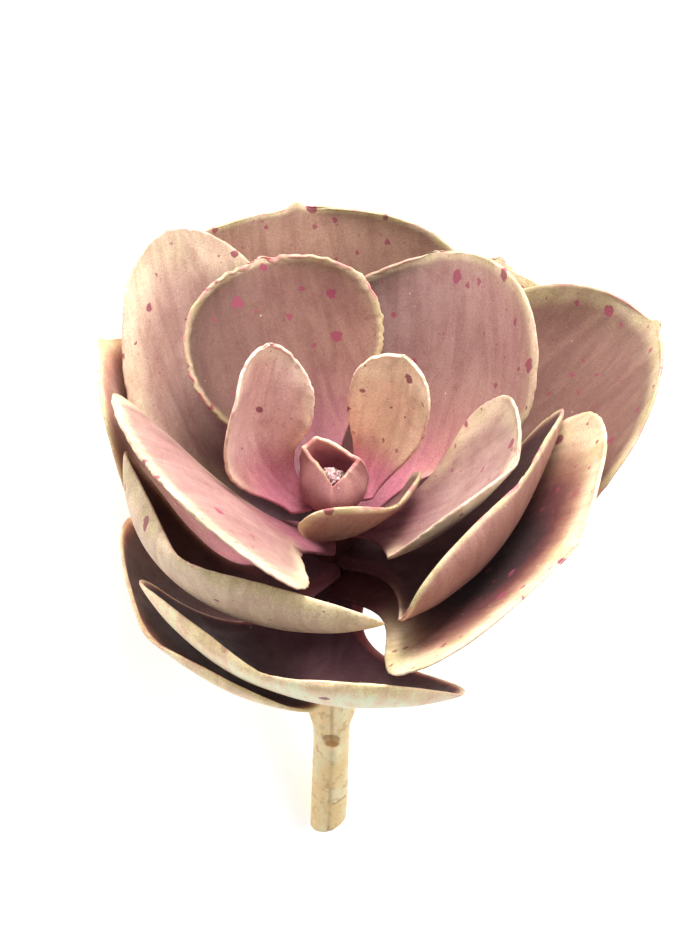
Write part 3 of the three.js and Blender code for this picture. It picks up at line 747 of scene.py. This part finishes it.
leafInside = fleshMaterial("leaf_inside", True)
leafBack = fleshMaterial("leaf_back", False)
print("leaf materials made")


def tipMaterial():
    material, tree, shader = newMaterial("growing_tip")
    here = tree.nodes.new("ShaderNodeTexCoord").outputs["Object"]
    crumbs = grain(tree, here, 1500, 4, 0.7)
    colour = blend(tree, remap(tree, crumbs, 0.42, 0.6), growingTip["dark"], growingTip["pale"])
    tree.links.new(colour, shader.inputs["Base Color"])
    shader.inputs["Roughness"].default_value = growingTip["roughness"]
    bumps(tree, shader, ((crumbs, 0.8, 0.0006),))
    return material


for number, name in enumerate(leaves):
    makeLeaf(name, number)
print(len(leaves), "leaves made")
for number, name in enumerate(mouths):
    makeLeaflet(name, number + len(leaves))
makeGrowingTip()
print("bud made")


# stem
# line is height, side, back and radius, from the crown down to the cut end
stem = dict(
    line=(
        (-4.6, 0, 0, 1.8), (-6.6, 0, 0, 2.8), (-9.3, 0, 0, 2.9), (-9.9, 0, 0, 4.6), (-12, 0, 0, 5.2),
        (-48, -0.3, 0, 5.2), (-56, -0.4, -0.8, 4.7), (-66, -0.5, -2.2, 4.65), (-78, -0.6, -4.4, 4.85),
        (-90, -0.8, -7.2, 4.6), (-104, -1.2, -10.4, 4.7), (-117, -1.6, -13, 4.7),
    ),
    crownTop=-12,  # steps are sharp above it and soft below
    sides=56, rings=190, cutSlope=0.45,
    caps=((0.88, 0.45), (0.55, 0.2), (0.25, -0.25)),  # shrink and push of each step over the ends
    bark=0.22, barkGrain=0.08,
)
# marks in the bark, in mm, and turns in radians from the front, where the seam runs
stemScars = dict(
    seamDepth=0.28, seamWidth=0.55, lipHeight=0.16, lipPlace=0.8, lipWidth=0.5,
    earReach=1.25, earHeight=-81.5, earTurn=1.5, earWidth=0.42, earTall=3.0,
    pouchReach=0.75, pouchWidth=2.2, pouchSpan=(-96, -90, -88.4, -87.8),  # heights where it starts to ends
    hollowDepth=1.1, hollowWidth=2.0, hollowSpan=(-89.6, -88.8, -86.4, -85.6),
    rings=((-108, 0.4), (-99, 0.12), (-83, 0.12)),  # height and depth
    ringTall=0.5, ringWander=0.8,
)


def stemAt(height):
    line, crownTop = stem["line"], stem["crownTop"]
    for (h0, *a), (h1, *b) in zip(line, line[1:]):
        if height >= h1:
            t = ease(height, h0, h1) if h0 > crownTop else (h0 - height) / (h0 - h1)
            return [x + (y - x) * clamp(t) for x, y in zip(a, b)]
    return line[-1][1:]


def stemReach(height, turn, radius):
    scars, fromSeam = stemScars, turn * radius
    x, y = math.cos(turn), math.sin(turn)
    reach = radius + stem["bark"] * noise.noise(Vector((x * 2, y * 2, height * 0.09)))
    reach += stem["barkGrain"] * noise.noise(Vector((x * 7, y * 7, height * 0.5)))
    seam = hump(fromSeam, 0, scars["seamWidth"])
    reach -= scars["seamDepth"] * seam * (0.6 + 0.4 * noise.noise(Vector((0, 3, height * 0.3))))
    reach += scars["lipHeight"] * hump(abs(turn) * radius, scars["lipPlace"], scars["lipWidth"])
    # scars of fallen leaves: ears on both sides, and a pouch in front
    for side in (-1, 1):
        ear = hump(turn, side * scars["earTurn"], scars["earWidth"])
        reach += scars["earReach"] * ear * hump(height, scars["earHeight"], scars["earTall"])
    pouch = hump(fromSeam, 0, scars["pouchWidth"], 4) * plateau(height, *scars["pouchSpan"])
    hollow = hump(fromSeam, 0, scars["hollowWidth"], 4) * plateau(height, *scars["hollowSpan"])
    reach += scars["pouchReach"] * pouch - scars["hollowDepth"] * hollow
    for ring, depth in scars["rings"]:
        wander = ring + scars["ringWander"] * math.sin(turn * 1.5 + ring)
        broken = 0.4 + 0.6 * clamp(0.5 + noise.noise(Vector((turn, ring, 1))))
        reach -= depth * hump(height, wander, scars["ringTall"]) * broken
    return reach


def closeEnd(mesh, atTop, middle):
    # the end is capped, drawn in a little and closed at its middle
    bpy.ops.mesh.select_all(action="DESELECT")
    bpy.ops.mesh.select_non_manifold(extend=False)
    bpy.ops.object.mode_set(mode="OBJECT")
    for e in mesh.edges:
        e.select = e.select and (mesh.vertices[e.vertices[0]].co.z > middle) == atTop
    for v in mesh.vertices:
        v.select = v.select and (v.co.z > middle) == atTop
    ring = [v.co for v in mesh.vertices if v.select]
    centre = sum(ring, Vector()) / len(ring)
    bpy.ops.object.mode_set(mode="EDIT")
    for shrink, push in stem["caps"]:
        bpy.ops.mesh.extrude_region_move(TRANSFORM_OT_translate={"value": (0, 0, push if atTop else -push)})
        bpy.ops.transform.resize(value=(shrink, shrink, shrink), center_override=centre)
    bpy.ops.mesh.merge(type="CENTER")


def makeStem():
    piece, mesh = addGrid("cut_stem", stem["sides"], stem["rings"])
    for word in ("seamGap", "heightDown"):
        mesh.attributes.new(word, "FLOAT", "POINT")
    top, bottom = stem["line"][0][0], stem["line"][-1][0]
    for v in mesh.vertices:
        turn, t = math.pi * v.co.x, (1 - v.co.y) / 2
        height = top + (bottom - top) * t
        side, back, radius = stemAt(height)
        reach = stemReach(height, turn, radius)
        mesh.attributes["seamGap"].data[v.index].value = turn * radius
        mesh.attributes["heightDown"].data[v.index].value = height
        x = reach * math.sin(turn)
        cut = stem["cutSlope"] * x * ease(t, 0.9, 1.0)
        v.co = (side + x, back - reach * math.cos(turn), height + cut)
    bpy.ops.object.mode_set(mode="EDIT")
    bpy.ops.mesh.select_all(action="SELECT")
    bpy.ops.mesh.remove_doubles(threshold=0.01)
    for atTop in (True, False):
        closeEnd(mesh, atTop, (top + bottom) / 2)
    bpy.ops.mesh.select_all(action="SELECT")
    bpy.ops.mesh.normals_make_consistent(inside=False)
    bpy.ops.object.mode_set(mode="OBJECT")
    finishPiece(piece, (stemMaterial(),), "stem")


stemLook = dict(
    straw=(0.96, 0.70, 0.340), pale=(0.97, 0.84, 0.510), tan=(0.58, 0.32, 0.130), scar=(0.40, 0.20, 0.060),
    seam=(0.56, 0.32, 0.150), green=(0.56, 0.47, 0.230), roughness=0.62,
    pocketMarks=((-87.6, 2.5, 1.5, 0.75), (-88.7, 2.0, 0.6, 0.8)),  # height, width, tallness and strength
    shield=(-95.5, -89.5, 2.3),  # lowest point, shoulder and half width
    crack=-107.8,
)


def stemMaterial():
    look = stemLook
    material, tree, shader = newMaterial("stem_bark")
    here = tree.nodes.new("ShaderNodeTexCoord").outputs["Object"]
    seamGap, height = attribute(tree, "seamGap"), attribute(tree, "heightDown")
    cloudy = grain(tree, here, 110, 4, 0.6)
    patchy = grain(tree, here, 330, 5, 0.65)
    fine = grain(tree, here, 1700, 3, 0.6)
    colour = blend(tree, remap(tree, cloudy, 0.36, 0.62), look["straw"], look["pale"])
    colour = blend(tree, times(tree, remap(tree, patchy, 0.52, 0.66), 0.55), colour, look["tan"])
    colour = blend(tree, times(tree, remap(tree, patchy, 0.46, 0.3), 0.4), colour, look["green"])
    gap = absolute(tree, plus(tree, seamGap, swing(tree, patchy, 1.1)))
    line = times(tree, remap(tree, gap, 0.75, 0.1), remap(tree, cloudy, 0.35, 0.6, 0.15, 0.65))
    colour = blend(tree, line, colour, look["seam"])

    # the pocket of a fallen leaf, a round mark with a darker lower lip, and the pale shield under it
    unevenSeam = plus(tree, seamGap, swing(tree, patchy, 1.6))
    for level, wide, tall, strength in look["pocketMarks"]:
        across = maths(tree, "POWER", absolute(tree, over(tree, unevenSeam, wide)), 2.0)
        upright = maths(tree, "POWER", absolute(tree, over(tree, minus(tree, height, level), tall)), 2.0)
        mark = remap(tree, plus(tree, across, upright), 1.2, 0.5)
        colour = blend(tree, times(tree, mark, strength), colour, look["scar"])
    low, shoulder, halfShield = look["shield"]
    shield = minus(tree, remap(tree, height, low, shoulder, 0.0, halfShield), absolute(tree, unevenSeam))
    shield = times(tree, remap(tree, shield, 0.0, 0.5), remap(tree, height, -89.0, -89.8))
    colour = blend(tree, times(tree, shield, 0.55), colour, look["pale"])

    # a crack round the lower end, and the dark crown between the leaves
    crack = plus(tree, minus(tree, height, look["crack"]), swing(tree, cloudy, 3.0))
    crack = times(tree, remap(tree, absolute(tree, crack), 0.8, 0.2), remap(tree, patchy, 0.4, 0.6))
    colour = blend(tree, times(tree, crack, 0.7), colour, look["scar"])
    colour = blend(tree, remap(tree, height, -50, -30), colour, fleshLook["maroon"])
    tree.links.new(colour, shader.inputs["Base Color"])
    shader.inputs["Roughness"].default_value = look["roughness"]
    bumps(tree, shader, ((patchy, 0.5, 0.0005), (fine, 0.4, 0.00012)))
    return material


makeStem()
print("stem made")


# camera, floor and light
# The camera looks at the rosette as it does when the plant stands up, so its place is laid down too.
shot = dict(elevation=46, distance=650, right=3.98, up=1.4, lens=107.8, sensor=36, clip=(0.05, 20))
studio = dict(floor=(0.95, 0.95, 0.95), floorSize=6, floorRoughness=0.9, glow=0.42, world=0.55)
lamps = {  # place is metres up, toward the camera, to the right and out of the rosette's open face
    "key": dict(place=(0.8, 0.45, 0.1, 0), size=0.5, power=19.0),
    "fill": dict(place=(-0.15, 0, 0.75, 0.7), size=0.7, power=5.0),
    "back": dict(place=(0.7, 0, 0.5, 0.4), size=0.6, power=1.0),
}


def makeCamera():
    e = math.radians(shot["elevation"])
    right, up = Vector((1, 0, 0)), Vector((0, math.sin(e), math.cos(e)))
    toward = Vector((0, -math.cos(e), math.sin(e)))
    place = right * shot["right"] + up * shot["up"] + toward * shot["distance"]
    turn = lay.to_3x3().normalized()
    camera = bpy.data.objects.new("camera", bpy.data.cameras.new("camera"))
    bpy.context.scene.collection.objects.link(camera)
    camera.data.lens = shot["lens"]
    camera.data.sensor_width = shot["sensor"]
    axes = Matrix((turn @ right, turn @ up, turn @ toward)).transposed().to_4x4()
    camera.matrix_world = Matrix.Translation(lay @ place) @ axes
    camera.data.clip_start, camera.data.clip_end = shot["clip"]
    bpy.context.scene.camera = camera
    return turn @ toward, turn @ up, turn @ right


def areaLight(name, where, target, size, power):
    light = bpy.data.objects.new(name, bpy.data.lights.new(name, "AREA"))
    bpy.context.scene.collection.objects.link(light)
    light.data.size, light.data.energy = size, power
    light.location = where
    light.rotation_mode = "QUATERNION"
    light.rotation_quaternion = (where - target).to_track_quat("Z", "Y")


def makeStudio(toward, up, right):
    deselect()
    bpy.ops.mesh.primitive_plane_add(size=studio["floorSize"], location=(0, 0, 0))
    floor = bpy.context.object
    floor.name = "floor"
    material, tree, shader = newMaterial("floor_paper")
    shader.inputs["Base Color"].default_value = (*studio["floor"], 1)
    shader.inputs["Roughness"].default_value = studio["floorRoughness"]
    shader.inputs["Emission Color"].default_value = (1, 1, 1, 1)  # white paper lit from below too
    shader.inputs["Emission Strength"].default_value = studio["glow"]
    floor.data.materials.append(material)
    heart = lay @ Vector((0, 0, 0))
    ways = (up, toward, right, (toward + up).normalized())
    for name, lamp in lamps.items():
        where = sum((way * length for way, length in zip(ways, lamp["place"])), heart)
        areaLight(name, where, heart, lamp["size"], lamp["power"])
    world = bpy.data.worlds.new("studio")
    bpy.context.scene.world = world
    world.use_nodes = True
    background = world.node_tree.nodes["Background"]
    background.inputs["Color"].default_value = (1, 1, 1, 1)
    background.inputs["Strength"].default_value = studio["world"]
    bpy.context.scene.view_settings.view_transform = "Standard"


makeStudio(*makeCamera())
print("camera and studio made")
